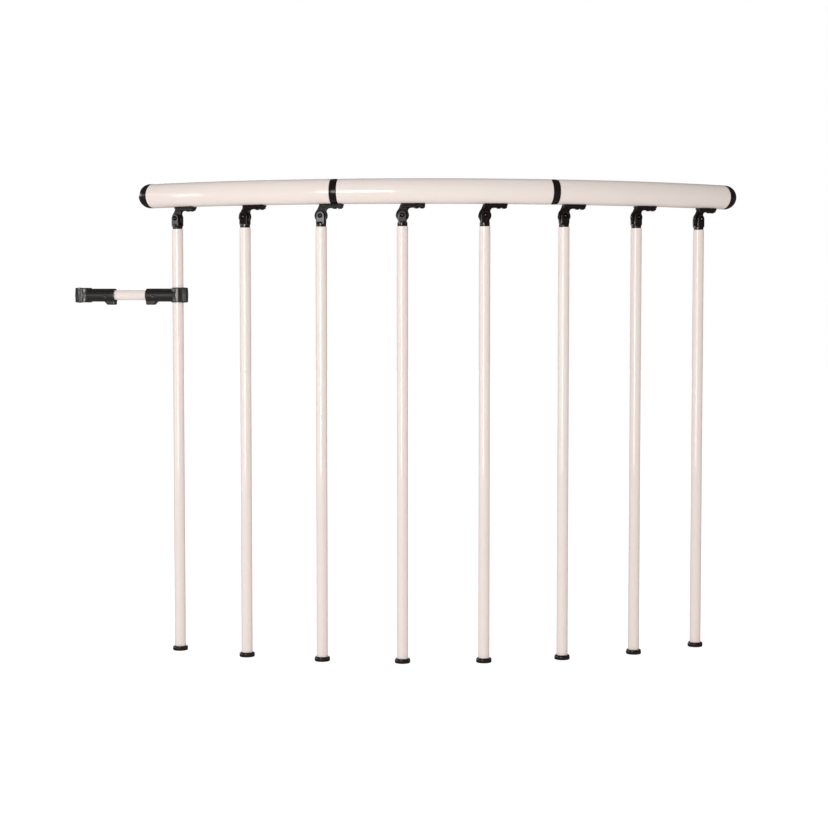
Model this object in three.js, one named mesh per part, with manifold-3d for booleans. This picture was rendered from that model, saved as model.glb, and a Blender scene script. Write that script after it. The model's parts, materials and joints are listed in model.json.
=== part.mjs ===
// A free-standing folding guard rail, curved in plan.
// Three bent tubes, joined by two black couplers and closed by two round caps, make the handrail.
// Eight upright posts hang under it, each on a hinge bracket, and each stands on a rubber foot.
// A short clamp arm on the first post reaches out to a post beside the guard.
// Lengths are in millimetres and +Z is up. The curve bulges towards -Y, and +X runs along the rail.
// A place along the rail is a length of arc, measured from the middle of the eight posts.
import * as THREE from 'three';
import { mergeVertices } from 'three/addons/utils/BufferGeometryUtils.js';
import Module from 'manifold-3d';

// The whole guard
const RAIL_HEIGHT = 676;
const BEND_RADIUS = 687;
const POST_COUNT = 8;
const POST_PITCH = 117.4;
const FIT_GAP = 0.3;
const CUT_OVERRUN = 1;

// Handrail tubes, couplers and end caps
const RAIL_RADIUS = 18;
const RAIL_WALL = 1.5;
const RAIL_SIDE_LENGTH = 296;
const RAIL_MIDDLE_LENGTH = 305.5;
const RAIL_SHIFT = 2.1;
const COUPLER_RING_LENGTH = 10;
const COUPLER_SLEEVE_REACH = 20;
const COUPLER_SLEEVE_WALL = 2;
const CAP_BAND_LENGTH = 5.5;
const CAP_DOME_LENGTH = 18.5;
const CAP_PLUG_LENGTH = 14;
const CAP_PLUG_WALL = 2;

// Posts
const POST_RADIUS = 8;
const POST_WALL = 1.2;
const FOOT_FLOOR = 3.4;
const FOOT_HEIGHT = 6.9;
const FOOT_BULGE_RADIUS = 11.2;
const FOOT_BULGE_HEIGHT = 3.2;
const FOOT_TOP_RADIUS = 10.2;
const FOOT_BASE_RADIUS = 8.4;
const FOOT_PLUG_TOP = 21;

// Hinge bracket: a saddle flange under the rail, a rib under the flange, and a round knuckle
const PIVOT_DROP = 16;
const KNUCKLE_RADIUS = 9.4;
const KNUCKLE_THICKNESS = 6.4;
const FLANGE_WIDTH = 13;
const FLANGE_THICKNESS = 2.2;
const FLANGE_BACK = 2.4;
const FLANGE_FRONT = 33;
const RIB_WIDTH = 9;
const RIB_DEPTH = 2.8;
const RIB_BACK = 1.6;
const RIB_FRONT = 31.8;
const NECK_FRONT = 12.9;

// Screw that holds the flange to the rail
const SCREW_PLACE = 28;
const SCREW_SHANK_RADIUS = 1.6;
const SCREW_HEAD_RADIUS = 3.1;
const SCREW_HEAD_HEIGHT = 1.2;
const SCREW_REACH = 2.2;
const SCREW_SLOT_RADIUS = 1.2;
const SCREW_SLOT_DEPTH = 0.9;

// Fork in the top of each post, and the rivet that it turns on
const FORK_EAR_THICKNESS = 3;
const FORK_EAR_RADIUS = 6.1;
const FORK_EAR_LENGTH = 13.2;
const FORK_EAR_CHAMFER = 2.2;
const FORK_FLOOR_DROP = 9.8;
const FORK_COLLAR_RADIUS = 7.3;
const FORK_BOTTOM_DROP = 15.6;
const FORK_PLUG_LENGTH = 20;
const RIVET_RADIUS = 2.3;
const RIVET_LIP_RADIUS = 3.4;
const RIVET_LIP_THICKNESS = 1;
const RIVET_HOLLOW_RADIUS = 1.4;
const RIVET_HOLLOW_DEPTH = 3;
const RIVET_HEAD_RADIUS = 4;
const RIVET_HEAD_HEIGHT = 1.8;

// Clamp arm on the first post
const ARM_DROP = 147;
const ARM_SPAN = 147.2;
const ARM_SWING = THREE.MathUtils.degToRad(18.4);
const ARM_TUBE_RADIUS = 7.3;
const ARM_TUBE_WALL = 1.2;
const CLAMP_COLLAR_RADIUS = 9.8;
const CLAMP_COLLAR_HEIGHT = 22;
const CLAMP_LUG_REACH = 14.6;
const CLAMP_LUG_WIDTH = 11;
const CLAMP_SOCKET_RADIUS = 9.7;
const CLAMP_SOCKET_REACH = 49;
const CLAMP_SOCKET_FLOOR = 18.5;
const CLAMP_BOSS_LENGTH = 17;
const CLAMP_BOSS_WIDTH = 11;
const CLAMP_BOSS_DEPTH = 14.4;
const CLAMP_BOSS_SLOPE = 5;
const CLAMP_DIMPLE_PLACE = 36;
const CLAMP_DIMPLE_DROP = 2.7;
const CLAMP_DIMPLE_RADIUS = 2.2;
const CLAMP_DIMPLE_DEPTH = 0.9;
const SET_SCREW_RADIUS = 2.5;
const SET_SCREW_RECESS = 0.6;
const SET_SCREW_KEY_RADIUS = 1.4;
const SET_SCREW_KEY_DEPTH = 2.4;

// Numbers of flat sides and steps on the round shapes
const RAIL_SIDES = 20;
const BEND_STEP = THREE.MathUtils.degToRad(2.2);
const POST_SIDES = 16;
const SMALL_SIDES = 8;
const KEY_SIDES = 6;
const DOME_STEPS = 5;
const BULGE_STEPS = 2;
const EAR_STEPS = 4;
const KNUCKLE_STEPS = 6;
const MERGE_TOLERANCE = 1e-4;

// Places that several pieces share
const RAIL_BOTTOM = RAIL_HEIGHT - RAIL_RADIUS;
const PIVOT_HEIGHT = RAIL_BOTTOM - PIVOT_DROP;
const FLANGE_UNDERSIDE = RAIL_BOTTOM - FIT_GAP - FLANGE_THICKNESS;
const RIB_UNDERSIDE = FLANGE_UNDERSIDE - RIB_DEPTH;
const POST_TOP = PIVOT_HEIGHT - FORK_BOTTOM_DROP - FIT_GAP;
const POST_BOTTOM = FOOT_FLOOR + FIT_GAP;
const ARM_HEIGHT = RAIL_HEIGHT - ARM_DROP;
const EAR_INNER_FACE = KNUCKLE_THICKNESS / 2 + FIT_GAP;
const EAR_OUTER_FACE = EAR_INNER_FACE + FORK_EAR_THICKNESS;
const COUPLER_PITCH = RAIL_MIDDLE_LENGTH + COUPLER_RING_LENGTH;
const COUPLER_PLACES = [RAIL_SHIFT - COUPLER_PITCH / 2, RAIL_SHIFT + COUPLER_PITCH / 2];
const RAIL_ENDS = [
  COUPLER_PLACES[0] - COUPLER_RING_LENGTH / 2 - RAIL_SIDE_LENGTH,
  COUPLER_PLACES[1] + COUPLER_RING_LENGTH / 2 + RAIL_SIDE_LENGTH,
];
const POST_PLACES = Array.from(
  { length: POST_COUNT },
  (_, index) => (index - (POST_COUNT - 1) / 2) * POST_PITCH,
);

const cream = new THREE.MeshStandardMaterial({ color: 0xefe0d8, roughness: 0.32, metalness: 0 });
const black = new THREE.MeshStandardMaterial({ color: 0x221b19, roughness: 0.42, metalness: 0 });
const rubber = new THREE.MeshStandardMaterial({ color: 0x191716, roughness: 0.75, metalness: 0 });
const steel = new THREE.MeshStandardMaterial({ color: 0x3a3735, roughness: 0.35, metalness: 1 });
const darkSteel = new THREE.MeshStandardMaterial({ color: 0x2c2a29, roughness: 0.4, metalness: 1 });

const wasm = await Module();
wasm.setup();

// Turns a closed geometry into a solid that can be joined and cut.
function toSolid(geometry) {
  const bare = geometry.clone();
  bare.deleteAttribute('normal');
  bare.deleteAttribute('uv');
  const merged = mergeVertices(bare, MERGE_TOLERANCE);
  const corners = merged.index.array;
  const triangles = [];
  for (let i = 0; i < corners.length; i += 3) {
    const [a, b, c] = [corners[i], corners[i + 1], corners[i + 2]];
    if (a !== b && b !== c && c !== a) triangles.push(a, b, c);
  }
  const vertProperties = new Float32Array(merged.attributes.position.array);
  return new wasm.Manifold(new wasm.Mesh({ numProp: 3, vertProperties, triVerts: new Uint32Array(triangles) }));
}

function toGeometry(solid) {
  const { vertProperties, triVerts } = solid.getMesh();
  const geometry = new THREE.BufferGeometry();
  geometry.setAttribute('position', new THREE.BufferAttribute(vertProperties, 3));
  geometry.setIndex(new THREE.BufferAttribute(triVerts, 1));
  geometry.computeVertexNormals();
  return geometry;
}

// Joins the first geometries and cuts the others away.
function shaped(joined, cuts = []) {
  let solid = toSolid(joined[0]);
  for (const geometry of joined.slice(1)) solid = solid.add(toSolid(geometry));
  for (const geometry of cuts) solid = solid.subtract(toSolid(geometry));
  return toGeometry(solid);
}

function part(name, geometry, material, parent) {
  const mesh = new THREE.Mesh(geometry, material);
  mesh.name = name;
  parent.add(mesh);
  return mesh;
}

// A turned piece about the Z axis. Its profile is a list of [radius, height], from the bottom up on the outside.
function turned(profile, sides) {
  const points = profile.map(([radius, height]) => new THREE.Vector2(radius, height));
  return new THREE.LatheGeometry(points, sides).rotateX(Math.PI / 2);
}

// A straight tube about the Z axis.
function tube(outer, wall, bottom, top, sides) {
  const inner = outer - wall;
  return turned([[inner, bottom], [outer, bottom], [outer, top], [inner, top], [inner, bottom]], sides);
}

// A round bar about the Z axis.
function bar(radius, bottom, top, sides) {
  return turned([[0, bottom], [radius, bottom], [radius, top], [0, top]], sides);
}

// A block between two corners.
function block(low, high) {
  const [width, depth, height] = high.map((value, axis) => value - low[axis]);
  const middle = high.map((value, axis) => (value + low[axis]) / 2);
  return new THREE.BoxGeometry(width, depth, height).translate(...middle);
}

// A flat plate: an outline in X and Z, with its thickness along Y between two faces.
function plate(outline, nearFace, farFace, curveSegments) {
  const settings = { depth: farFace - nearFace, bevelEnabled: false, curveSegments };
  return new THREE.ExtrudeGeometry(outline, settings).rotateX(Math.PI / 2).translate(0, farFace, 0);
}

function circlePoints(radius, sides) {
  const corner = (_, index) => {
    const angle = (index / sides) * 2 * Math.PI;
    return new THREE.Vector2(radius * Math.cos(angle), radius * Math.sin(angle));
  };
  return Array.from({ length: sides }, corner);
}

// The rail's bent centre line, between two places along it.
class RailLine extends THREE.Curve {
  constructor(start, end) {
    super();
    this.start = start;
    this.end = end;
  }

  getPoint(share, target = new THREE.Vector3()) {
    const angle = (this.start + (this.end - this.start) * share) / BEND_RADIUS;
    const fall = BEND_RADIUS * (1 - Math.cos(angle));
    return target.set(BEND_RADIUS * Math.sin(angle), fall, RAIL_HEIGHT);
  }
}

// A bar or tube along the rail's centre line.
function bent(start, end, outer, inner = 0) {
  const steps = Math.ceil((end - start) / BEND_RADIUS / BEND_STEP);
  const section = new THREE.Shape(circlePoints(outer, RAIL_SIDES));
  if (inner > 0) section.holes.push(new THREE.Path(circlePoints(inner, RAIL_SIDES)));
  return new THREE.ExtrudeGeometry(section, { steps, extrudePath: new RailLine(start, end) });
}

// A group that stands on the floor under a place on the rail: X along the rail, Y to the inside of the bend.
function stationAt(place) {
  const station = new THREE.Group();
  const angle = place / BEND_RADIUS;
  station.position.set(BEND_RADIUS * Math.sin(angle), BEND_RADIUS * (1 - Math.cos(angle)), 0);
  station.rotation.z = angle;
  station.updateMatrix();
  return station;
}

// The clearance holes of all the bracket screws, cut out of the rail and the couplers.
function screwHoles() {
  const bottom = RAIL_BOTTOM - FIT_GAP - CUT_OVERRUN;
  const hole = bar(SCREW_SHANK_RADIUS + FIT_GAP, bottom, screwTip() + CUT_OVERRUN, SMALL_SIDES);
  hole.translate(SCREW_PLACE, 0, 0);
  return POST_PLACES.map((place) => hole.clone().applyMatrix4(stationAt(place).matrix));
}

function screwTip() {
  return RAIL_BOTTOM + RAIL_WALL + FIT_GAP + COUPLER_SLEEVE_WALL + SCREW_REACH;
}

function addRail(parent) {
  const half = COUPLER_RING_LENGTH / 2;
  const inner = RAIL_RADIUS - RAIL_WALL;
  const spans = {
    rail_tube_left: [RAIL_ENDS[0], COUPLER_PLACES[0] - half - FIT_GAP],
    rail_tube_middle: [COUPLER_PLACES[0] + half + FIT_GAP, COUPLER_PLACES[1] - half - FIT_GAP],
    rail_tube_right: [COUPLER_PLACES[1] + half + FIT_GAP, RAIL_ENDS[1]],
  };
  for (const [name, [start, end]] of Object.entries(spans)) {
    const geometry = shaped([bent(start, end, RAIL_RADIUS, inner)], screwHoles());
    part(name, geometry, cream, parent);
  }
}

// A flush ring between two tubes, with a sleeve that runs into both of them.
function addCoupler(name, place, parent) {
  const half = COUPLER_RING_LENGTH / 2;
  const reach = half + COUPLER_SLEEVE_REACH;
  const sleeveOuter = RAIL_RADIUS - RAIL_WALL - FIT_GAP;
  const sleeveInner = sleeveOuter - COUPLER_SLEEVE_WALL;
  const ringInner = sleeveOuter - COUPLER_SLEEVE_WALL / 2;
  const ring = bent(place - half, place + half, RAIL_RADIUS, ringInner);
  const sleeve = bent(place - reach, place + reach, sleeveOuter, sleeveInner);
  part(name, shaped([ring, sleeve], screwHoles()), black, parent);
}

// A round cap with a hollow plug. outward is 1 at the rail's last end and -1 at its first.
function addEndCap(name, place, outward, parent) {
  const base = FIT_GAP;
  const profile = [[0, base], [RAIL_RADIUS, base]];
  for (let step = 0; step < DOME_STEPS; step += 1) {
    const angle = (step / DOME_STEPS) * (Math.PI / 2);
    const height = base + CAP_BAND_LENGTH + CAP_DOME_LENGTH * Math.sin(angle);
    profile.push([RAIL_RADIUS * Math.cos(angle), height]);
  }
  profile.push([0, base + CAP_BAND_LENGTH + CAP_DOME_LENGTH]);
  const dome = turned(profile, RAIL_SIDES).rotateY(outward * (Math.PI / 2)).translate(0, 0, RAIL_HEIGHT);
  dome.applyMatrix4(stationAt(place).matrix);
  const plugOuter = RAIL_RADIUS - RAIL_WALL - FIT_GAP;
  const plugEnds = [place - outward * CAP_PLUG_LENGTH, place + outward * (base + CAP_BAND_LENGTH / 2)];
  plugEnds.sort((first, second) => first - second);
  const plug = bent(...plugEnds, plugOuter, plugOuter - CAP_PLUG_WALL);
  part(name, shaped([dome, plug]), black, parent);
}

// The knuckle with its neck up to the flange, seen from the front with the pivot at the outline's origin.
function knuckleOutline() {
  const neckTop = FLANGE_UNDERSIDE - PIVOT_HEIGHT;
  const ribLevel = RIB_UNDERSIDE - PIVOT_HEIGHT;
  const cornerAngle = Math.atan2(neckTop, -RIB_BACK);
  const backAngle = cornerAngle + Math.acos(KNUCKLE_RADIUS / Math.hypot(RIB_BACK, neckTop));
  const frontAngle = Math.asin(ribLevel / 2 / KNUCKLE_RADIUS);
  const outline = new THREE.Shape();
  outline.moveTo(-RIB_BACK, neckTop);
  outline.absarc(0, 0, KNUCKLE_RADIUS, backAngle, frontAngle + 2 * Math.PI, false);
  outline.quadraticCurveTo(KNUCKLE_RADIUS, ribLevel, NECK_FRONT, ribLevel);
  outline.lineTo(NECK_FRONT, neckTop);
  return outline;
}

function bracketGeometry() {
  const flangeTop = RAIL_HEIGHT - Math.sqrt(RAIL_RADIUS ** 2 - (FLANGE_WIDTH / 2) ** 2);
  const flange = block(
    [-FLANGE_BACK, -FLANGE_WIDTH / 2, FLANGE_UNDERSIDE],
    [FLANGE_FRONT, FLANGE_WIDTH / 2, flangeTop],
  );
  const rib = block(
    [-RIB_BACK, -RIB_WIDTH / 2, RIB_UNDERSIDE],
    [RIB_FRONT, RIB_WIDTH / 2, FLANGE_UNDERSIDE + FLANGE_THICKNESS / 2],
  );
  const halfKnuckle = KNUCKLE_THICKNESS / 2;
  const knuckle = plate(knuckleOutline(), -halfKnuckle, halfKnuckle, KNUCKLE_STEPS)
    .translate(0, 0, PIVOT_HEIGHT);
  const pivotHole = bar(RIVET_RADIUS + FIT_GAP, -KNUCKLE_THICKNESS, KNUCKLE_THICKNESS, SMALL_SIDES)
    .rotateX(Math.PI / 2)
    .translate(0, 0, PIVOT_HEIGHT);
  const screwHole = bar(
    SCREW_SHANK_RADIUS + FIT_GAP,
    RIB_UNDERSIDE - CUT_OVERRUN,
    RAIL_BOTTOM + CUT_OVERRUN,
    SMALL_SIDES,
  ).translate(SCREW_PLACE, 0, 0);
  return shaped([flange, rib, knuckle], [saddleCutter(), pivotHole, screwHole]);
}

// The rail's own shape with a gap around it, near a bracket at the middle of the bend.
function saddleCutter() {
  const start = -FLANGE_BACK - CUT_OVERRUN;
  const end = FLANGE_FRONT + CUT_OVERRUN;
  return bent(start, end, RAIL_RADIUS + FIT_GAP);
}

function bracketScrewGeometry() {
  const seat = RIB_UNDERSIDE - FIT_GAP;
  const profile = [
    [0, seat - SCREW_HEAD_HEIGHT + SCREW_SLOT_DEPTH],
    [SCREW_SLOT_RADIUS, seat - SCREW_HEAD_HEIGHT + SCREW_SLOT_DEPTH],
    [SCREW_SLOT_RADIUS, seat - SCREW_HEAD_HEIGHT],
    [SCREW_HEAD_RADIUS - SCREW_HEAD_HEIGHT / 2, seat - SCREW_HEAD_HEIGHT],
    [SCREW_HEAD_RADIUS, seat - SCREW_HEAD_HEIGHT / 2],
    [SCREW_HEAD_RADIUS, seat],
    [SCREW_SHANK_RADIUS, seat],
    [SCREW_SHANK_RADIUS, screwTip() - SCREW_SHANK_RADIUS],
    [0, screwTip()],
  ];
  return shaped([turned(profile, SMALL_SIDES).translate(SCREW_PLACE, 0, 0)]);
}

// One ear of the fork: round over the pivot, with its lower corners cut off.
function earOutline() {
  const outline = new THREE.Shape();
  outline.absarc(0, 0, FORK_EAR_RADIUS, 0, Math.PI, false);
  outline.lineTo(-FORK_EAR_RADIUS, FORK_EAR_CHAMFER - FORK_EAR_LENGTH);
  outline.lineTo(FORK_EAR_CHAMFER - FORK_EAR_RADIUS, -FORK_EAR_LENGTH);
  outline.lineTo(FORK_EAR_RADIUS - FORK_EAR_CHAMFER, -FORK_EAR_LENGTH);
  outline.lineTo(FORK_EAR_RADIUS, FORK_EAR_CHAMFER - FORK_EAR_LENGTH);
  return outline;
}

function forkGeometry() {
  const nearEar = plate(earOutline(), -EAR_OUTER_FACE, -EAR_INNER_FACE, EAR_STEPS);
  const farEar = plate(earOutline(), EAR_INNER_FACE, EAR_OUTER_FACE, EAR_STEPS);
  nearEar.translate(0, 0, PIVOT_HEIGHT);
  farEar.translate(0, 0, PIVOT_HEIGHT);
  const collarBottom = PIVOT_HEIGHT - FORK_BOTTOM_DROP;
  const collarTop = PIVOT_HEIGHT - FORK_FLOOR_DROP;
  const plugRadius = POST_RADIUS - POST_WALL - FIT_GAP;
  const body = turned([
    [0, collarBottom - FORK_PLUG_LENGTH],
    [plugRadius, collarBottom - FORK_PLUG_LENGTH],
    [plugRadius, collarBottom],
    [FORK_COLLAR_RADIUS, collarBottom],
    [FORK_COLLAR_RADIUS, collarTop],
    [0, collarTop],
  ], POST_SIDES);
  const rivetHole = bar(
    RIVET_RADIUS + FIT_GAP,
    -EAR_OUTER_FACE - CUT_OVERRUN,
    EAR_OUTER_FACE + CUT_OVERRUN,
    SMALL_SIDES,
  ).rotateX(Math.PI / 2).translate(0, 0, PIVOT_HEIGHT);
  return shaped([body, nearEar, farEar], [rivetHole]);
}

// A rivet along Y: a domed head at the back, and a rolled hollow end at the front.
function rivetGeometry() {
  const seat = EAR_OUTER_FACE + FIT_GAP;
  const profile = [[0, -seat - RIVET_HEAD_HEIGHT]];
  for (let step = 1; step <= BULGE_STEPS; step += 1) {
    const angle = (step / BULGE_STEPS) * (Math.PI / 2);
    profile.push([RIVET_HEAD_RADIUS * Math.sin(angle), -seat - RIVET_HEAD_HEIGHT * Math.cos(angle)]);
  }
  profile.push(
    [RIVET_RADIUS, -seat],
    [RIVET_RADIUS, seat],
    [RIVET_LIP_RADIUS, seat],
    [RIVET_LIP_RADIUS, seat + RIVET_LIP_THICKNESS / 2],
    [RIVET_LIP_RADIUS - RIVET_LIP_THICKNESS / 2, seat + RIVET_LIP_THICKNESS],
    [RIVET_HOLLOW_RADIUS, seat + RIVET_LIP_THICKNESS / 2],
    [RIVET_HOLLOW_RADIUS, seat - RIVET_HOLLOW_DEPTH],
    [0, seat - RIVET_HOLLOW_DEPTH],
  );
  return shaped([turned(profile, SMALL_SIDES).rotateX(Math.PI / 2).translate(0, 0, PIVOT_HEIGHT)]);
}

// A foot with a cup around the post's end and a plug inside it.
function footGeometry() {
  const cupRadius = POST_RADIUS + FIT_GAP;
  const plugRadius = POST_RADIUS - POST_WALL - FIT_GAP;
  const profile = [[0, 0], [FOOT_BASE_RADIUS, 0]];
  const lower = new THREE.QuadraticBezierCurve(
    new THREE.Vector2(FOOT_BASE_RADIUS, 0),
    new THREE.Vector2(FOOT_BULGE_RADIUS, 0),
    new THREE.Vector2(FOOT_BULGE_RADIUS, FOOT_BULGE_HEIGHT),
  );
  profile.push(...lower.getPoints(BULGE_STEPS).slice(1).map((point) => point.toArray()));
  const upper = new THREE.QuadraticBezierCurve(
    new THREE.Vector2(FOOT_BULGE_RADIUS, FOOT_BULGE_HEIGHT),
    new THREE.Vector2(FOOT_BULGE_RADIUS, (FOOT_BULGE_HEIGHT + FOOT_HEIGHT) / 2),
    new THREE.Vector2(FOOT_TOP_RADIUS, FOOT_HEIGHT),
  );
  profile.push(...upper.getPoints(BULGE_STEPS).slice(1).map((point) => point.toArray()));
  profile.push(
    [cupRadius, FOOT_HEIGHT],
    [cupRadius, FOOT_FLOOR],
    [plugRadius, FOOT_FLOOR],
    [plugRadius, FOOT_PLUG_TOP],
    [0, FOOT_PLUG_TOP],
  );
  return shaped([turned(profile, POST_SIDES)]);
}

function addPost(number, place, shapes, parent) {
  const station = stationAt(place);
  parent.add(station);
  part(`bracket_${number}`, shapes.bracket, black, station);
  part(`bracket_screw_${number}`, shapes.screw, darkSteel, station);
  part(`fork_${number}`, shapes.fork, black, station);
  part(`pivot_rivet_${number}`, shapes.rivet, steel, station);
  part(`post_tube_${number}`, shapes.tube, cream, station);
  part(`foot_${number}`, shapes.foot, rubber, station);
  return station;
}

// The tee clamp: a collar about Z with a lug on its back, a socket along +X,
// and a boss for the set screw under the socket's mouth.
function clampGeometry() {
  const halfCollar = CLAMP_COLLAR_HEIGHT / 2;
  const collar = bar(CLAMP_COLLAR_RADIUS, -halfCollar, halfCollar, RAIL_SIDES);
  const socket = bar(CLAMP_SOCKET_RADIUS, 0, CLAMP_SOCKET_REACH, RAIL_SIDES).rotateY(Math.PI / 2);
  const lug = block(
    [-CLAMP_LUG_REACH, -CLAMP_LUG_WIDTH / 2, -halfCollar],
    [0, CLAMP_LUG_WIDTH / 2, halfCollar],
  );
  const bossStart = CLAMP_SOCKET_REACH - CLAMP_BOSS_LENGTH;
  const outline = new THREE.Shape();
  outline.moveTo(bossStart, -CLAMP_BOSS_DEPTH + CLAMP_BOSS_SLOPE);
  outline.lineTo(bossStart + CLAMP_BOSS_SLOPE, -CLAMP_BOSS_DEPTH);
  outline.lineTo(CLAMP_SOCKET_REACH, -CLAMP_BOSS_DEPTH);
  outline.lineTo(CLAMP_SOCKET_REACH, 0);
  outline.lineTo(bossStart, 0);
  const boss = plate(outline, -CLAMP_BOSS_WIDTH / 2, CLAMP_BOSS_WIDTH / 2, 1);
  const postBore = bar(
    POST_RADIUS + FIT_GAP,
    -halfCollar - CUT_OVERRUN,
    halfCollar + CUT_OVERRUN,
    POST_SIDES,
  );
  const tubeBore = bar(
    ARM_TUBE_RADIUS + FIT_GAP,
    CLAMP_SOCKET_FLOOR,
    CLAMP_SOCKET_REACH + CUT_OVERRUN,
    POST_SIDES,
  ).rotateY(Math.PI / 2);
  const screwBore = bar(SET_SCREW_RADIUS + FIT_GAP, -CLAMP_BOSS_DEPTH - CUT_OVERRUN, 0, SMALL_SIDES)
    .translate(setScrewPlace(), 0, 0);
  return shaped([collar, lug, socket, boss], [postBore, tubeBore, screwBore, ...dimples()]);
}

// Shallow round marks on the socket's two sides, just below its axis.
function dimples() {
  const floor = CLAMP_SOCKET_RADIUS - CLAMP_DIMPLE_DEPTH;
  const cutter = bar(CLAMP_DIMPLE_RADIUS, floor, CLAMP_SOCKET_RADIUS + CUT_OVERRUN, SMALL_SIDES);
  const quarterTurns = [Math.PI / 2, -Math.PI / 2];
  const toPlace = [CLAMP_DIMPLE_PLACE, 0, -CLAMP_DIMPLE_DROP];
  return quarterTurns.map((turn) => cutter.clone().rotateX(turn).translate(...toPlace));
}

function setScrewPlace() {
  return CLAMP_SOCKET_REACH - (CLAMP_BOSS_LENGTH - CLAMP_BOSS_SLOPE) / 2;
}

function setScrewGeometry() {
  const bottom = -CLAMP_BOSS_DEPTH + SET_SCREW_RECESS;
  const top = -ARM_TUBE_RADIUS - FIT_GAP;
  const screw = bar(SET_SCREW_RADIUS, bottom, top, SMALL_SIDES);
  const key = bar(SET_SCREW_KEY_RADIUS, bottom - CUT_OVERRUN, bottom + SET_SCREW_KEY_DEPTH, KEY_SIDES);
  return shaped([screw], [key]).translate(setScrewPlace(), 0, 0);
}

function addArm(station) {
  const arm = new THREE.Group();
  arm.position.z = ARM_HEIGHT;
  arm.rotation.z = Math.PI + ARM_SWING;
  station.add(arm);
  const farEnd = new THREE.Group();
  farEnd.position.x = ARM_SPAN;
  farEnd.rotation.z = Math.PI;
  arm.add(farEnd);
  part('arm_clamp_inner', clampGeometry(), black, arm);
  part('arm_screw_inner', setScrewGeometry(), darkSteel, arm);
  const tubeStart = CLAMP_SOCKET_FLOOR + FIT_GAP;
  const armTube = tube(ARM_TUBE_RADIUS, ARM_TUBE_WALL, tubeStart, ARM_SPAN - tubeStart, POST_SIDES);
  part('arm_tube', shaped([armTube.rotateY(Math.PI / 2)]), cream, arm);
  part('arm_clamp_outer', clampGeometry(), black, farEnd);
  part('arm_screw_outer', setScrewGeometry(), darkSteel, farEnd);
}

const group = new THREE.Group();
addRail(group);
addCoupler('coupler_left', COUPLER_PLACES[0], group);
addCoupler('coupler_right', COUPLER_PLACES[1], group);
addEndCap('end_cap_left', RAIL_ENDS[0], -1, group);
addEndCap('end_cap_right', RAIL_ENDS[1], 1, group);

const shapes = {
  bracket: bracketGeometry(),
  screw: bracketScrewGeometry(),
  fork: forkGeometry(),
  rivet: rivetGeometry(),
  tube: shaped([tube(POST_RADIUS, POST_WALL, POST_BOTTOM, POST_TOP, POST_SIDES)]),
  foot: footGeometry(),
};
const stations = POST_PLACES.map((place, index) => addPost(index + 1, place, shapes, group));
addArm(stations[0]);

// The origin is on the floor, under the middle of the whole guard.
group.updateMatrixWorld(true);
const middle = new THREE.Box3().setFromObject(group, true).getCenter(new THREE.Vector3());
group.position.set(-middle.x, -middle.y, 0);
group.updateMatrixWorld(true);

export default group;
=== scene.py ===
import json
import math

import bpy
import numpy as np
from mathutils import Matrix, Vector


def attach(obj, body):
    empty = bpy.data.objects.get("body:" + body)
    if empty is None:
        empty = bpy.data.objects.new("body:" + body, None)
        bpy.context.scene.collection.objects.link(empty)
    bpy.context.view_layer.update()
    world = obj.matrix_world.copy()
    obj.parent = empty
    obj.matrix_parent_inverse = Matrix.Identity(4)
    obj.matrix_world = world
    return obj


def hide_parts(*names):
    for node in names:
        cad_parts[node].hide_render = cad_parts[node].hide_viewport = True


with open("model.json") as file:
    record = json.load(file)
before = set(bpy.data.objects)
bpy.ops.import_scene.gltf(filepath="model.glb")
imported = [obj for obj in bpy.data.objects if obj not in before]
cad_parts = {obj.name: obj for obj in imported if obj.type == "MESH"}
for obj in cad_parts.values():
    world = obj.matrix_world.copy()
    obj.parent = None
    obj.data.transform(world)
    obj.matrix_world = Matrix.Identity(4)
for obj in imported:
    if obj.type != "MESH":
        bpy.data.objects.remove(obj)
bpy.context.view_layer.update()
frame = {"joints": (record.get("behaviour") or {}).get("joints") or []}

MM = 0.001
IMAGE_WIDTH = 828
SENSOR_WIDTH = 36.0

# The whole guard
RAIL_HEIGHT = 676.0
POST_COUNT = 8
FIT_GAP = 0.3

# Handrail tubes, couplers and end caps
RAIL_RADIUS = 18.0
RAIL_WALL = 1.5
RAIL_SIDE_LENGTH = 296.0
RAIL_MIDDLE_LENGTH = 305.5
RAIL_SHIFT = 2.1
RAIL_EDGE = 0.45
RAIL_SIDES = 96
RAIL_STEP = 6.0
RAIL_FIRST_STEP = 1.0
RING_LENGTH = 10.0
RING_CROWN = 0.35
RING_CROWN_SHARE = 0.8
RING_CROWN_STEPS = 9
RING_EDGE = 0.7
SLEEVE_REACH = 20.0
SLEEVE_WALL = 2.0
SLEEVE_EDGE = 0.8
SLEEVE_INNER_EDGE = 0.4
CAP_BAND = 5.5
CAP_DOME = 18.5
CAP_GROOVE = 0.5
CAP_GROOVE_EDGE = 0.2
CAP_GROOVE_CORNER = 0.1
CAP_DOME_INSET = 0.1
CAP_FLOOR = 1.0
CAP_ARC_STEP = 5
CAP_PLUG_LENGTH = 14.0
CAP_PLUG_WALL = 2.0

# Posts and feet
POST_RADIUS = 8.0
POST_WALL = 1.2
POST_EDGE = 0.35
POST_SIDES = 64
FOOT_FLOOR = 3.4
FOOT_HEIGHT = 6.9
FOOT_BULGE_RADIUS = 11.2
FOOT_BULGE_HEIGHT = 3.2
FOOT_TOP_RADIUS = 10.2
FOOT_BASE_RADIUS = 8.4
FOOT_PLUG_TOP = 21.0
FOOT_TREAD_DEPTH = 0.8
FOOT_TREAD_RADII = (2.2, 4.0, 5.2, 6.6)
FOOT_TREAD_EDGE = 0.3
FOOT_BASE_EDGE = 0.5
FOOT_BASE_RISE = 0.1
FOOT_LOWER_ROUND = 2.7
FOOT_UPPER_ROUND = 2.2
FOOT_TOP_ROUND = 0.8
FOOT_CUP_EDGE = 0.5
FOOT_PLUG_ROUND = 1.2
FOOT_CORNER_STEPS = 6

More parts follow.
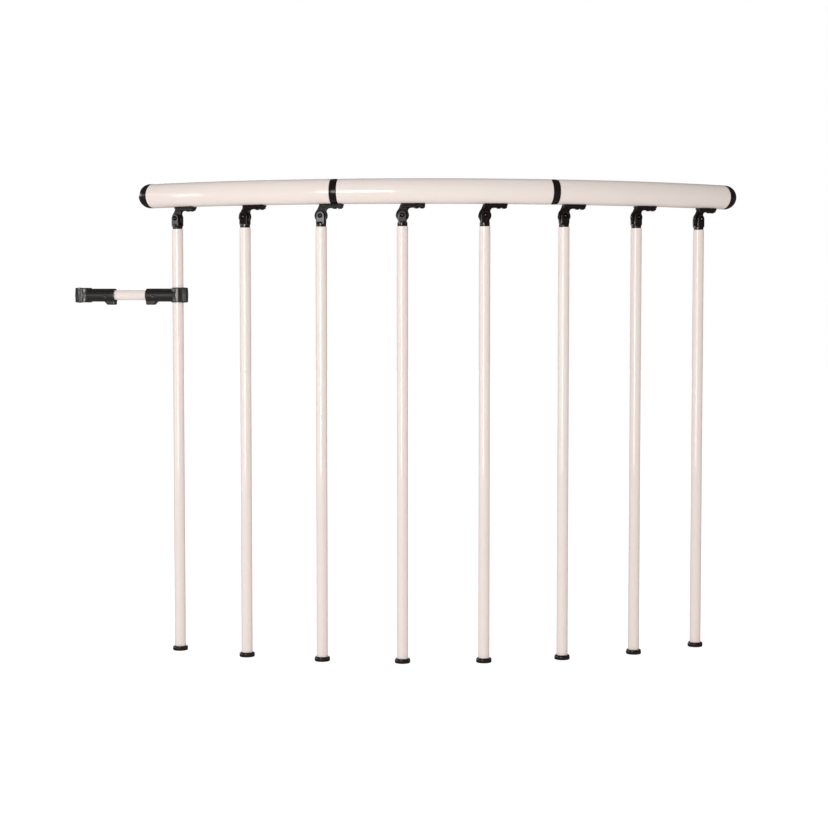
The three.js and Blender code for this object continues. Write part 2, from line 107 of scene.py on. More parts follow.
# Hinge bracket
PIVOT_DROP = 16.0
KNUCKLE_RADIUS = 9.4
KNUCKLE_THICKNESS = 6.4
FLANGE_WIDTH = 13.0
FLANGE_THICKNESS = 2.2
FLANGE_BACK = 2.4
FLANGE_FRONT = 33.0
FLANGE_CORNER = 2.2
FLANGE_LIFT = 1.3
RIB_WIDTH = 9.0
RIB_DEPTH = 2.8
RIB_BACK = 1.6
RIB_FRONT = 31.8
KNUCKLE_DRAFT = 0.065
FLANGE_DRAFT = 0.12
NECK_SIDE = 7.9
NECK_BLEND = 0.8
NECK_FILLET = 6.5
EDGE_BLEND = 1.0
JOINT_BLEND = 1.4

# Screws under the flange
SCREW_PLACE = 28.0
SECOND_SCREW_PLACE = 20.2
SCREW_SHANK_RADIUS = 1.6
SCREW_HEAD_RADIUS = 3.1
SCREW_HEAD_HEIGHT = 1.2
SCREW_REACH = 2.2
CROSS_REACH = 1.8
CROSS_HALF_WIDTH = 0.42
CROSS_DEPTH = 0.9
CROSS_TAPER_SHARE = 0.8
CROSS_RIM_SHARE = 1.1
SCREW_CROWN_SHARE = 0.8
SCREW_CROWN_ROUND = 0.5
SCREW_SIDE_ROUND = 0.7
SCREW_SEAT_EDGE = 0.2
SCREW_SIDES = 48

# Fork and rivet
EAR_THICKNESS = 3.0
EAR_RADIUS = 6.1
EAR_LENGTH = 13.2
EAR_CHAMFER = 2.2
EAR_BLEND = 0.6
FORK_FLOOR_DROP = 9.8
FORK_COLLAR_RADIUS = 7.3
FORK_BOTTOM_DROP = 15.6
FORK_PLUG_LENGTH = 20.0
FORK_PLUG_BLEND = 2.0
RIVET_RADIUS = 2.3
RIVET_LIP_RADIUS = 3.4
RIVET_LIP_THICKNESS = 1.0
RIVET_EYE_RADIUS = 1.1
RIVET_GROOVE_RADIUS = 1.9
RIVET_HEAD_RADIUS = 4.0
RIVET_HEAD_HEIGHT = 1.8
RIVET_EYE_SINK = 0.1
RIVET_GROOVE_FLOOR = 0.6
RIVET_GROOVE_EDGE = 0.1
RIVET_LIP_CROWN = 0.5
RIVET_LIP_ROUND = 0.4
RIVET_EDGE = 0.3
RIVET_SEAT_EDGE = 0.15
RIVET_EYE_TONE = (0.75, 0.73, 0.7)
RIVET_SIDES = 40
RIVET_EYE_ARC_STEP = 25
RIVET_HEAD_ARC_STEP = 15

# Clamp arm
ARM_SPAN = 147.2
ARM_TUBE_RADIUS = 7.3
ARM_TUBE_WALL = 1.2
COLLAR_RADIUS = 9.8
COLLAR_HEIGHT = 22.0
LUG_REACH = 14.6
LUG_WIDTH = 11.0
LUG_CORNER = 1.4
LUG_DRAFT = 0.14
SOCKET_RADIUS = 9.7
SOCKET_REACH = 49.0
SOCKET_FLOOR = 18.5
BOSS_LENGTH = 17.0
BOSS_WIDTH = 11.0
BOSS_DEPTH = 14.4
BOSS_SLOPE = 5.0
BOSS_CORNER = 2.0
DIMPLE_PLACE = 36.0
DIMPLE_DROP = 2.7
DIMPLE_RADIUS = 2.2
DIMPLE_DEPTH = 0.9
SET_SCREW_RADIUS = 2.5
SET_SCREW_RECESS = 0.6
KEY_RADIUS = 1.4
KEY_DEPTH = 2.4
SET_SCREW_RIM_SHARE = 1.15
SET_SCREW_EDGE = 0.3
SET_SCREW_END_EDGE = 0.4
CLAMP_BLEND = 1.6
CLAMP_EDGE = 1.5
BOSS_EDGE = 2.0

# Fineness of the shapes
MOULD_PITCH = 0.5
CLAMP_PITCH = 0.6
NET_MARGIN = 2.0
NET_TOP_MARGIN = 5.0
CORNER_STEPS = 4
RELAX_ROUNDS = 6
SETTLE_ROUNDS = 3
SLOPE_FINENESS = 50
LEAST_SLOPE = 0.1
DIAGONAL = math.sqrt(0.5)
TINY = 1e-6

# Places that several pieces share, measured from the floor or from the pivot
RAIL_BOTTOM = RAIL_HEIGHT - RAIL_RADIUS
PIVOT_HEIGHT = RAIL_BOTTOM - PIVOT_DROP
RAIL_ABOVE_PIVOT = RAIL_HEIGHT - PIVOT_HEIGHT
FLANGE_UNDERSIDE = PIVOT_DROP - FIT_GAP - FLANGE_THICKNESS
FLANGE_TOP = FLANGE_UNDERSIDE + FLANGE_THICKNESS + FLANGE_LIFT
RIB_UNDERSIDE = FLANGE_UNDERSIDE - RIB_DEPTH
RIB_TOP = FLANGE_TOP - EDGE_BLEND
POST_TOP = PIVOT_HEIGHT - FORK_BOTTOM_DROP - FIT_GAP
POST_BOTTOM = FOOT_FLOOR + FIT_GAP
PLUG_RADIUS = POST_RADIUS - POST_WALL - FIT_GAP
EAR_INNER_FACE = KNUCKLE_THICKNESS / 2 + FIT_GAP
EAR_OUTER_FACE = EAR_INNER_FACE + EAR_THICKNESS
SLEEVE_RADIUS = RAIL_RADIUS - RAIL_WALL - FIT_GAP
BOSS_SCREW_PLACE = SOCKET_REACH - (BOSS_LENGTH - BOSS_SLOPE) / 2
RING_PITCH = RAIL_MIDDLE_LENGTH + RING_LENGTH
RING_PLACES = (RAIL_SHIFT - RING_PITCH / 2, RAIL_SHIFT + RING_PITCH / 2)
RAIL_START = RING_PLACES[0] - RING_LENGTH / 2 - RAIL_SIDE_LENGTH
RAIL_END = RING_PLACES[1] + RING_LENGTH / 2 + RAIL_SIDE_LENGTH

JOINTS = {joint["name"]: joint for joint in frame["joints"]}


# Places taken from the frame
def fold(number):
    return JOINTS[f"post_{number}_fold"]


def bend():
    """The bend's centre on the floor, in metres, and its radius in millimetres."""
    first, last = fold(1), fold(POST_COUNT)
    start, end = Vector(first["pos_m"]), Vector(last["pos_m"])
    outward = Vector(first["axis"])
    turn = outward.angle(Vector(last["axis"]))
    radius = (end - start).length / (2 * math.sin(turn / 2))
    centre = start - outward * radius
    return Vector((centre.x, centre.y, 0)), radius / MM


BEND_CENTRE, BEND_RADIUS = bend()
AT_BEND = Matrix.Translation(BEND_CENTRE)


def axes_at(origin, along, up=(0, 0, 1)):
    """A place whose X points along, with Z as close to up as it can be."""
    x = Vector(along).normalized()
    y = Vector(up).cross(x).normalized()
    z = x.cross(y)
    matrix = Matrix((x, y, z)).transposed().to_4x4()
    matrix.translation = Vector(origin)
    return matrix


def station(number, height=0.0):
    """A post's own place: X along the rail, Y to the inside of the bend."""
    joint = fold(number)
    outward = Vector(joint["axis"])
    x, y, _ = joint["pos_m"]
    return axes_at((x, y, height * MM), (-outward.y, outward.x, 0))


# Turned shapes. A profile is a list of (radius, height), from the bottom up on the outside.
def softened(points, steps=CORNER_STEPS):
    """A closed profile with corners rounded: each point is (radius, height, rounding)."""
    result = []
    for index, (radius, height, rounding) in enumerate(points):
        here = np.array((radius, height), float)
        if rounding == 0:
            result.append(tuple(here))
            continue
        before = np.array(points[index - 1][:2]) - here
        after = np.array(points[(index + 1) % len(points)][:2]) - here
        start, end = (here + arm * min(rounding / np.hypot(*arm), 0.5) for arm in (before, after))
        for share in np.linspace(0, 1, steps + 1):
            point = (1 - share) ** 2 * start + 2 * share * (1 - share) * here + share**2 * end
            result.append(tuple(point))
    return result


def upright(height):
    return np.array((0, 0, height)), np.array((1.0, 0, 0)), np.array((0, 1.0, 0))


def along_x(height):
    return np.array((height, 0, 0)), np.array((0, 1.0, 0)), np.array((0, 0, 1.0))


def along_y(height):
    return np.array((0, height, 0)), np.array((0, 0, 1.0)), np.array((1.0, 0, 0))


def rail_line(place, direction=1):
    """The rail's centre line and its section's two axes. Past the rail's ends it runs straight on."""
    held = min(max(place, RAIL_START), RAIL_END)
    angle = held / BEND_RADIUS
    tangent = np.array((math.cos(angle), math.sin(angle), 0))
    inward = np.array((-math.sin(angle), math.cos(angle), 0))
    middle = np.array((0, 0, RAIL_HEIGHT)) - inward * BEND_RADIUS + tangent * (place - held)
    return middle, inward * direction, np.array((0, 0, 1.0))


def turned(profile, sides, spine=upright, closed=True):
    """Vertices and faces of a profile turned around a spine. A point may add an outline of its ring."""
    angles = np.arange(sides) * 2 * math.pi / sides
    vertices, rings = [], []
    for radius, height, *outline in profile:
        middle, first, second = spine(height)
        if radius == 0:
            rings.append([len(vertices)])
            vertices.append(middle)
            continue
        reach = np.array([outline[0](angle) for angle in angles]) if outline else np.full(sides, radius)
        rings.append(list(range(len(vertices), len(vertices) + sides)))
        ring = np.outer(reach * np.cos(angles), first) + np.outer(reach * np.sin(angles), second)
        vertices.extend(middle + ring)
    pairs = list(zip(rings, rings[1:]))
    if closed:
        pairs.append((rings[-1], rings[0]))
    faces = []
    for lower, upper in pairs:
        faces.extend(band(lower, upper, sides))
    return np.array(vertices), faces


def band(lower, upper, sides):
    """The faces between two rings, either of which may be a single point."""
    if len(lower) == 1 and len(upper) == 1:
        return []
    faces = []
    for side in range(sides):
        after = (side + 1) % sides
        if len(lower) == 1:
            faces.append((lower[0], upper[after], upper[side]))
        elif len(upper) == 1:
            faces.append((lower[side], lower[after], upper[0]))
        else:
            faces.append((lower[side], lower[after], upper[after], upper[side]))
    return faces


def steps_between(start, end, step):
    count = max(2, math.ceil((end - start) / step) + 1)
    return np.linspace(start, end, count)


# Moulded shapes. A field gives each point's distance to the surface, negative inside.
def joined(first, second, blend):
    spare = np.maximum(blend - np.abs(first - second), 0)
    return np.minimum(first, second) - spare**2 / (4 * blend)


def common(first, second, blend=EDGE_BLEND):
    return -joined(-first, -second, blend)


def cut(body, tool, blend=EDGE_BLEND):
    return common(body, -tool, blend)


def slab(value, low, high):
    return np.abs(value - (low + high) / 2) - (high - low) / 2


def rectangle(first, second, low, high, corner):
    """A flat rectangle with rounded corners. low and high are its corners."""
    across = slab(first, low[0], high[0]) + corner
    along = slab(second, low[1], high[1]) + corner
    outside = np.hypot(np.maximum(across, 0), np.maximum(along, 0))
    return outside + np.minimum(np.maximum(across, along), 0) - corner


def netted(field, low, high, pitch):
    """A closed mesh of even quads on the surface where the field is zero."""
    axes = [np.arange(start, end + pitch, pitch) for start, end in zip(low, high)]
    points = np.stack(np.meshgrid(*axes, indexing="ij"), axis=-1)
    inside = field(points) < 0
    cells = [size - 1 for size in inside.shape]
    count = np.zeros(cells, int)
    for corner in np.ndindex(2, 2, 2):
        count += inside[tuple(slice(c, c + size) for c, size in zip(corner, cells))]
    crossed = (count > 0) & (count < 2**3)
    number = np.full(cells, -1)
    number[crossed] = np.arange(crossed.sum())
    vertices = points[:-1, :-1, :-1][crossed] + pitch / 2
    faces = np.concatenate([net_faces(inside, number, axis) for axis in range(3)])
    vertices = settled(field, vertices, pitch)
    for _ in range(RELAX_ROUNDS):
        vertices = settled(field, relaxed(vertices, faces), pitch)
    return vertices, faces.tolist()


def net_faces(inside, number, axis):
    """The quads around the grid edges along one axis that pass through the surface."""
    first = np.take(inside, range(inside.shape[axis] - 1), axis)
    second = np.take(inside, range(1, inside.shape[axis]), axis)
    edges = np.argwhere(first != second)
    outward = first[tuple(edges.T)]
    right, up = (axis + 1) % 3, (axis + 2) % 3
    corners = []
    for back, down in ((1, 1), (0, 1), (0, 0), (1, 0)):
        cell = edges.copy()
        cell[:, right] -= back
        cell[:, up] -= down
        corners.append(number[tuple(cell.T)])
    quads = np.stack(corners, axis=1)
    quads[~outward] = quads[~outward][:, ::-1]
    return quads


def relaxed(vertices, faces):
    """Each vertex moved to the middle of its neighbours."""
    total = np.zeros_like(vertices)
    weight = np.zeros(len(vertices))
    for side in range(4):
        here, there = faces[:, side], faces[:, (side + 1) % 4]
        for source, target in ((here, there), (there, here)):
            np.add.at(total, target, vertices[source])
            np.add.at(weight, target, 1)
    return total / weight[:, None]


def settled(field, vertices, pitch):
    """Vertices moved along the field's slope onto the surface."""
    reach = pitch / SLOPE_FINENESS
    for _ in range(SETTLE_ROUNDS):
        slope = np.empty_like(vertices)
        for axis in range(3):
            shift = np.zeros(3)
            shift[axis] = reach
            slope[:, axis] = (field(vertices + shift) - field(vertices - shift)) / (2 * reach)
        steepness = np.maximum((slope**2).sum(axis=1), LEAST_SLOPE)
        move = slope * (field(vertices) / steepness)[:, None]
        length = np.maximum(np.linalg.norm(move, axis=1), reach)
        vertices = vertices - move * np.minimum(1, pitch / 2 / length)[:, None]
    return vertices


# Finishes. Most of a noise lies in NOISE_SPAN, and the gloss varies more coarsely than the grain.
NOISE_SPAN = (0.3, 0.7)
GLOSS_COARSENESS = 3
NOISE_DETAIL = 3.0
GRAIN_DETAIL = 2.0
RIPPLE_DETAIL = 1.0
BLACK_TONES = ((0.009, 0.0055, 0.005), (0.013, 0.008, 0.0075))


def node(tree, kind, **settings):
    made = tree.nodes.new(kind)
    for name, value in settings.items():
        setattr(made, name, value)
    return made


def noise(tree, coordinates, scale, detail=NOISE_DETAIL):
    """A noise texture whose scale is in features a metre."""
    made = node(tree, "ShaderNodeTexNoise")
    made.inputs["Scale"].default_value = scale
    made.inputs["Detail"].default_value = detail
    tree.links.new(coordinates, made.inputs["Vector"])
    return made.outputs["Fac"]


def spread(tree, value, low, high):
    """A noise value spread between two numbers."""
    made = node(tree, "ShaderNodeMapRange")
    made.inputs["From Min"].default_value, made.inputs["From Max"].default_value = NOISE_SPAN
    made.inputs["To Min"].default_value = low
    made.inputs["To Max"].default_value = high
    tree.links.new(value, made.inputs["Value"])
    return made.outputs["Result"]


def ramp(tree, value, span, levels):
    """A smooth change of level over a span of values."""
    made = node(tree, "ShaderNodeMapRange", interpolation_type="SMOOTHSTEP")
    made.inputs["From Min"].default_value, made.inputs["From Max"].default_value = span
    made.inputs["To Min"].default_value, made.inputs["To Max"].default_value = levels
    tree.links.new(value, made.inputs["Value"])
    return made.outputs["Result"]


def reckoned(tree, operation, first, second):
    """Two values added, multiplied or compared."""
    made = node(tree, "ShaderNodeMath", operation=operation)
    tree.links.new(first, made.inputs[0])
    tree.links.new(second, made.inputs[1])
    return made.outputs[0]


def mixed(tree, share, first, second):
    """Two shaders, of which the share belongs to the second."""
    made = node(tree, "ShaderNodeMixShader")
    for source, socket in zip((share, first, second), made.inputs):
        tree.links.new(source, socket)
    return made.outputs[0]


def tinted(tree, value, first, second):
    """A colour between two tones."""
    made = node(tree, "ShaderNodeMix", data_type="RGBA")
    made.inputs["A"].default_value = (*first, 1)
    made.inputs["B"].default_value = (*second, 1)
    tree.links.new(value, made.inputs["Factor"])
    return made.outputs["Result"]


def bumped(tree, height, depth, below=None):
    """A bump of a real depth, over another one if given."""
    made = node(tree, "ShaderNodeBump")
    made.inputs["Strength"].default_value = 1.0
    made.inputs["Distance"].default_value = depth
    tree.links.new(height, made.inputs["Height"])
    if below is not None:
        tree.links.new(below, made.inputs["Normal"])
    return made.outputs["Normal"]


def finish(name, tones, patch, gloss, grain, grain_depth, ripple=None, **fixed):
    """A procedural finish: two tones in patches, a gloss that varies, fine grain and a broad ripple."""
    material = bpy.data.materials.new(name)
    material.use_nodes = True
    tree = material.node_tree
    shader = tree.nodes["Principled BSDF"]
    place = node(tree, "ShaderNodeTexCoord").outputs["Object"]
    patches = spread(tree, noise(tree, place, patch), 0, 1)
    tree.links.new(tinted(tree, patches, *tones), shader.inputs["Base Color"])
    shine = spread(tree, noise(tree, place, grain / GLOSS_COARSENESS), *gloss)
    tree.links.new(shine, shader.inputs["Roughness"])
    normal = bumped(tree, noise(tree, place, grain, GRAIN_DETAIL), grain_depth)
    if ripple:
        scale, depth = ripple
        normal = bumped(tree, noise(tree, place, scale, RIPPLE_DETAIL), depth, normal)
    tree.links.new(normal, shader.inputs["Normal"])
    for socket, value in fixed.items():
        shader.inputs[socket.replace("_", " ")].default_value = value
    return material


CREAM = finish(
    "cream powder coat",
    tones=((0.87, 0.765, 0.71), (0.885, 0.785, 0.735)),
    patch=9.0,
    gloss=(0.3, 0.4),
    grain=1300.0,
    grain_depth=0.000002,
    ripple=(160.0, 0.000005),
    IOR=1.5,
    Specular_IOR_Level=0.1,
    Coat_Weight=1.0,
    Coat_Roughness=0.06,
)
SMOOTH_BLACK = finish(
    "smooth black moulded plastic",
    tones=BLACK_TONES,
    patch=60.0,
    gloss=(0.14, 0.2),
    grain=2600.0,
    grain_depth=0.000004,
    IOR=1.65,
)
BLACK = finish(
    "black moulded plastic",
    tones=BLACK_TONES,
    patch=60.0,
    gloss=(0.18, 0.26),
    grain=2600.0,
    grain_depth=0.000008,
    ripple=(420.0, 0.00001),
    IOR=1.47,
)
SATIN_BLACK = finish(
    "satin black clamp plastic",
    tones=BLACK_TONES,
    patch=60.0,
    gloss=(0.3, 0.36),
    grain=2600.0,
    grain_depth=0.000006,
    IOR=2.0,
)
RUBBER = finish(
    "black foot rubber",
    tones=((0.012, 0.008, 0.007), (0.018, 0.012, 0.01)),
    patch=90.0,
    gloss=(0.15, 0.24),
    grain=1900.0,
    grain_depth=0.00001,
    IOR=1.5,
)
RIVET = finish(
    "black plated rivet with a bright eye",
    tones=((0.02, 0.018, 0.017), (0.035, 0.032, 0.03)),
    patch=700.0,
    gloss=(0.3, 0.42),
    grain=3000.0,
    grain_depth=0.000004,
    Metallic=1.0,
)
DARK_STEEL = finish(
    "black oxide steel",
    tones=((0.07, 0.066, 0.063), (0.11, 0.105, 0.1)),
    patch=600.0,
    gloss=(0.3, 0.45),
    grain=3000.0,
    grain_depth=0.000004,
    Metallic=1.0,
)


def brighten_middle(material, radius, tone):
    """Shows bare metal within a radius, in millimetres, of the material's own Y axis."""
    tree = material.node_tree
    shader = tree.nodes["Principled BSDF"]
    flat = node(tree, "ShaderNodeVectorMath", operation="MULTIPLY")
    flat.inputs[1].default_value = (1, 0, 1)
    tree.links.new(node(tree, "ShaderNodeTexCoord").outputs["Object"], flat.inputs[0])
    reach = node(tree, "ShaderNodeVectorMath", operation="LENGTH")
    tree.links.new(flat.outputs[0], reach.inputs[0])
    inside = node(tree, "ShaderNodeMath", operation="LESS_THAN")
    inside.inputs[1].default_value = radius * MM
    tree.links.new(reach.outputs["Value"], inside.inputs[0])
    toned = node(tree, "ShaderNodeMix", data_type="RGBA")
    toned.inputs["B"].default_value = (*tone, 1)
    tree.links.new(shader.inputs["Base Color"].links[0].from_socket, toned.inputs["A"])
    tree.links.new(inside.outputs[0], toned.inputs["Factor"])
    tree.links.new(toned.outputs["Result"], shader.inputs["Base Color"])


brighten_middle(RIVET, RIVET_EYE_RADIUS + RIVET_EYE_SINK, RIVET_EYE_TONE)


# Pieces
def shape(name, geometry, material, even=True):
    """A mesh in metres from vertices in millimetres. even keeps broad faces flat in the shading."""
    vertices, faces = geometry
    mesh = bpy.data.meshes.new(name)
    mesh.from_pydata((np.asarray(vertices) * MM).tolist(), [], faces)
    mesh.polygons.foreach_set("use_smooth", [True] * len(mesh.polygons))
    mesh.materials.append(material)
    mesh.validate()
    mesh["even"] = even
    return mesh


def piece(name, mesh, place, body, slot, *nodes):
    """Puts a mesh in its place on a body, in the stead of the named nodes."""
    made = bpy.data.objects.new(name, mesh)
    bpy.context.scene.collection.objects.link(made)
    made.matrix_world = place
    if mesh["even"]:
        normals = made.modifiers.new("even shading", "WEIGHTED_NORMAL")
        normals.keep_sharp = True
    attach(made, body)
    if nodes:
        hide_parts(*nodes)


def rail_tube(start, end):
    inner = RAIL_RADIUS - RAIL_WALL
    places = steps_between(start + RAIL_FIRST_STEP, end - RAIL_FIRST_STEP, RAIL_STEP)
    profile = [(inner, start, RAIL_EDGE), (RAIL_RADIUS, start, RAIL_EDGE)]
    profile += [(RAIL_RADIUS, place, 0) for place in places]
    profile += [(RAIL_RADIUS, end, RAIL_EDGE), (inner, end, RAIL_EDGE)]
    profile += [(inner, place, 0) for place in places[::-1]]
    return turned(softened(profile), RAIL_SIDES, rail_line)


def coupler(place):
    """A crowned ring, flush with the rail, on a sleeve that runs into both tubes."""
    half = RING_LENGTH / 2
    reach = half + SLEEVE_REACH
    inner = SLEEVE_RADIUS - SLEEVE_WALL
    profile = [
        (inner, -reach, SLEEVE_INNER_EDGE),
        (SLEEVE_RADIUS, -reach, SLEEVE_EDGE),
        (SLEEVE_RADIUS, -half, 0),
        (RAIL_RADIUS - RING_CROWN, -half, RING_EDGE),
    ]
    for share in np.linspace(-RING_CROWN_SHARE, RING_CROWN_SHARE, RING_CROWN_STEPS):
        profile.append((RAIL_RADIUS - RING_CROWN * share**2, share * half, 0))
    profile += [
        (RAIL_RADIUS - RING_CROWN, half, RING_EDGE),
        (SLEEVE_RADIUS, half, 0),
        (SLEEVE_RADIUS, reach, SLEEVE_EDGE),
        (inner, reach, SLEEVE_INNER_EDGE),
        (inner, 0, 0),
    ]
    profile = [(radius, place + height, rounding) for radius, height, rounding in profile]
    return turned(softened(profile), RAIL_SIDES, rail_line)


def end_cap(place, outward):
    """A round cap with a band, a fine groove and a dome, on a hollow plug."""
    base = FIT_GAP
    inner = SLEEVE_RADIUS - CAP_PLUG_WALL
    top = base + CAP_BAND
    profile = [
        (0, base + CAP_FLOOR, 0),
        (inner, base + CAP_FLOOR, SLEEVE_EDGE),
        (inner, -CAP_PLUG_LENGTH, SLEEVE_INNER_EDGE),
        (SLEEVE_RADIUS, -CAP_PLUG_LENGTH, SLEEVE_EDGE),
        (SLEEVE_RADIUS, base, 0),
        (RAIL_RADIUS, base, RING_EDGE),
        (RAIL_RADIUS, top - CAP_GROOVE, CAP_GROOVE_EDGE),
        (RAIL_RADIUS - CAP_GROOVE, top - CAP_GROOVE / 2, CAP_GROOVE_CORNER),
        (RAIL_RADIUS - CAP_DOME_INSET, top, CAP_GROOVE_EDGE),
    ]
    for angle in np.radians(np.arange(CAP_ARC_STEP, 90, CAP_ARC_STEP)):
        profile.append((RAIL_RADIUS * math.cos(angle), top + CAP_DOME * math.sin(angle), 0))
    profile.append((0, top + CAP_DOME, 0))

    def spine(height):
        return rail_line(place + outward * height, outward)

    return turned(softened(profile), RAIL_SIDES, spine, closed=False)


def post_tube():
    inner = POST_RADIUS - POST_WALL
    profile = [
        (inner, POST_BOTTOM, POST_EDGE),
        (POST_RADIUS, POST_BOTTOM, POST_EDGE),
        (POST_RADIUS, POST_TOP, POST_EDGE),
        (inner, POST_TOP, POST_EDGE),
    ]
    return turned(softened(profile), POST_SIDES)


def foot():
    """A foot with a bulging rim, a lip around the tube, and tread rings underneath."""
    cup = POST_RADIUS + FIT_GAP
    first, second, third, fourth = FOOT_TREAD_RADII
    middle = (FOOT_BULGE_HEIGHT + FOOT_HEIGHT) / 2
    edge = FOOT_TREAD_EDGE
    profile = [
        (0, 0, 0),
        (first, 0, edge),
        (first + edge, FOOT_TREAD_DEPTH, edge),
        (second - edge, FOOT_TREAD_DEPTH, edge),
        (second, 0, edge),
        (third, 0, edge),
        (third + edge, FOOT_TREAD_DEPTH, edge),
        (fourth - edge, FOOT_TREAD_DEPTH, edge),
        (fourth, 0, edge),
        (FOOT_BASE_RADIUS, 0, FOOT_BASE_EDGE),
        (FOOT_BULGE_RADIUS, FOOT_BASE_RISE, FOOT_LOWER_ROUND),
        (FOOT_BULGE_RADIUS, FOOT_BULGE_HEIGHT, 0),
        (FOOT_BULGE_RADIUS, middle, FOOT_UPPER_ROUND),
        (FOOT_TOP_RADIUS, FOOT_HEIGHT, FOOT_TOP_ROUND),
        (cup, FOOT_HEIGHT, FOOT_CUP_EDGE),
        (cup, FOOT_FLOOR, edge),
        (PLUG_RADIUS, FOOT_FLOOR, edge),
        (PLUG_RADIUS, FOOT_PLUG_TOP, FOOT_PLUG_ROUND),
        (0, FOOT_PLUG_TOP, 0),
    ]
    return turned(softened(profile, FOOT_CORNER_STEPS), POST_SIDES, closed=False)


def rib_side(x, z):
    """The rib under the flange, seen from the side."""
    return rectangle(x, z, (-RIB_BACK, RIB_UNDERSIDE), (RIB_FRONT, RIB_TOP), EDGE_BLEND / 2)


def neck_side(x, z):
    """The neck above the knuckle, seen from the side. Its back leans and touches the knuckle."""
    corner = np.hypot(RIB_BACK, FLANGE_UNDERSIDE)
    lean = math.atan2(FLANGE_UNDERSIDE, -RIB_BACK) + math.acos(KNUCKLE_RADIUS / corner)
    back = math.cos(lean) * x + math.sin(lean) * z - KNUCKLE_RADIUS
    touch = KNUCKLE_RADIUS * math.sin(lean)
    return np.maximum(np.maximum(back, x - NECK_SIDE), slab(z, touch, RIB_TOP))


def flange_field(x, y, z):
    """The flange along the rail and the rib under it, with sides that lean in."""
    half = FLANGE_WIDTH / 2
    plan = rectangle(x, y, (-FLANGE_BACK, -half), (FLANGE_FRONT, half), FLANGE_CORNER)
    lean_in = FLANGE_DRAFT * (z - RIB_UNDERSIDE)
    flange = common(plan + lean_in, slab(z, FLANGE_UNDERSIDE, FLANGE_TOP))
    rib = common(rib_side(x, z), np.abs(y) - RIB_WIDTH / 2 + lean_in)
    return joined(rib, flange, JOINT_BLEND / 2)


def bracket_field(points):
    """A hinge bracket, measured from its pivot."""
    x, y, z = np.moveaxis(points, -1, 0)
    from_pivot = np.hypot(x, z)
    outline = joined(from_pivot - KNUCKLE_RADIUS, neck_side(x, z), NECK_BLEND)
    outline = joined(outline, rib_side(x, z), NECK_FILLET)
    half_knuckle = KNUCKLE_THICKNESS / 2 - KNUCKLE_DRAFT * (z + KNUCKLE_RADIUS)
    knuckle = common(outline, np.abs(y) - half_knuckle)
    body = joined(knuckle, flange_field(x, y, z), JOINT_BLEND)
    from_line = np.hypot(np.hypot(x, y - BEND_RADIUS) - BEND_RADIUS, z - RAIL_ABOVE_PIVOT)
    body = cut(body, from_line - RAIL_RADIUS - FIT_GAP, EDGE_BLEND / 2)
    bores = from_pivot - RIVET_RADIUS - FIT_GAP
    for place in (SCREW_PLACE, SECOND_SCREW_PLACE):
        bores = np.minimum(bores, np.hypot(x - place, y) - SCREW_SHANK_RADIUS - FIT_GAP)
    return cut(body, bores, EDGE_BLEND / 2)


def fork_field(points):
    """The fork on a post's top, measured from its pivot."""
    x, y, z = np.moveaxis(points, -1, 0)
    side = rectangle(x, z, (-EAR_RADIUS, -EAR_LENGTH), (EAR_RADIUS, 0), 0)
    ear = np.minimum(side, np.hypot(x, z) - EAR_RADIUS)
    chamfer = (np.abs(x) - z - EAR_RADIUS - EAR_LENGTH + EAR_CHAMFER) * DIAGONAL
    ear = common(ear, chamfer, EDGE_BLEND / 2)
    ears = common(ear, slab(np.abs(y), EAR_INNER_FACE, EAR_OUTER_FACE), EAR_BLEND)
    radial = np.hypot(x, y)
    collar = common(radial - FORK_COLLAR_RADIUS, slab(z, -FORK_BOTTOM_DROP, -FORK_FLOOR_DROP))
    plug_span = slab(z, -FORK_BOTTOM_DROP - FORK_PLUG_LENGTH, -FORK_BOTTOM_DROP + EDGE_BLEND)
    plug = common(radial - PLUG_RADIUS, plug_span, FORK_PLUG_BLEND)
    body = np.minimum(joined(ears, collar, JOINT_BLEND / 2), plug)
    return cut(body, np.hypot(x, z) - RIVET_RADIUS - FIT_GAP, EDGE_BLEND / 2)


def clamp_body(x, y, z):
    """A collar about Z, a socket along X, a lug behind and a boss under the socket's mouth."""
    half, half_lug = COLLAR_HEIGHT / 2, LUG_WIDTH / 2
    collar = common(np.hypot(x, y) - COLLAR_RADIUS, slab(z, -half, half), CLAMP_EDGE)
    drafted = np.abs(y) + LUG_DRAFT * np.abs(z)
    plan = rectangle(x, drafted, (-LUG_REACH, -half_lug), (0, half_lug), LUG_CORNER)
    lug = common(plan, slab(z, -half, half), CLAMP_EDGE)
    socket = common(np.hypot(y, z) - SOCKET_RADIUS, slab(x, 0, SOCKET_REACH), CLAMP_EDGE)
    start = SOCKET_REACH - BOSS_LENGTH
    wedge = (-z - BOSS_DEPTH + BOSS_SLOPE - (x - start)) * DIAGONAL
    boss = rectangle(x, z, (start, -BOSS_DEPTH), (SOCKET_REACH, 0), BOSS_CORNER)
    boss = common(common(boss, wedge), np.abs(y) - BOSS_WIDTH / 2, BOSS_EDGE)
    body = joined(joined(collar, lug, CLAMP_BLEND), socket, CLAMP_BLEND)
    return joined(body, boss, CLAMP_BLEND)


